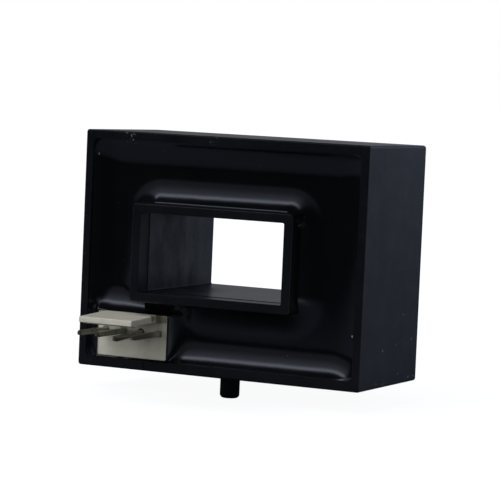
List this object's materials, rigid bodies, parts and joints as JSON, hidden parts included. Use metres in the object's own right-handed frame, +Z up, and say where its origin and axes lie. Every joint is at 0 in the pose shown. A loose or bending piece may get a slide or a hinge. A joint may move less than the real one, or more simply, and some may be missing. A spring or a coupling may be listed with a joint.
{
  "type": "hall effect current sensor",
  "caption": "Potted Hall effect current sensor: black open-front box with a rectangular busbar window, a white friction-lock pin header in one corner and a round locating peg below.",
  "frame": {"origin": "on the locating peg's axis, in the plane of the bottom seating face", "axes": "+Z up, away from the seating face; +Y from the open, resin-filled front to the back, along the busbar window; +X to the right seen from the front"},
  "size_m": [0.0398, 0.0246, 0.0331],
  "materials": {
    "housing_plastic": "satin moulded",
    "casting_resin": "glossy cast",
    "header_nylon": "satin moulded",
    "pin_tin": "dull tin plate",
    "board_laminate": "solder mask",
    "solder": "bright solder",
    "core_steel": "bare wound strip",
    "chip_package": "moulded epoxy",
    "lead_tin": "dull tin plate",
    "resistor_body": "glazed",
    "capacitor_body": "ceramic"
  },
  "bodies": {
    "root": {"housing": "housing_plastic", "potting_resin": "casting_resin", "header_base": "header_nylon", "terminal_pin_1": "pin_tin", "terminal_pin_2": "pin_tin", "terminal_pin_3": "pin_tin", "terminal_pin_4": "pin_tin", "circuit_board": "board_laminate", "header_solder": "solder", "magnetic_core": "core_steel", "hall_element": "chip_package", "hall_leads": "lead_tin", "hall_solder": "solder", "amplifier_chip": "chip_package", "amplifier_leads": "lead_tin", "regulator_chip": "chip_package", "regulator_leads": "lead_tin", "chip_resistors": "resistor_body", "resistor_end_caps": "lead_tin", "chip_capacitors": "capacitor_body", "capacitor_end_caps": "lead_tin"}
  },
  "joints": []
}
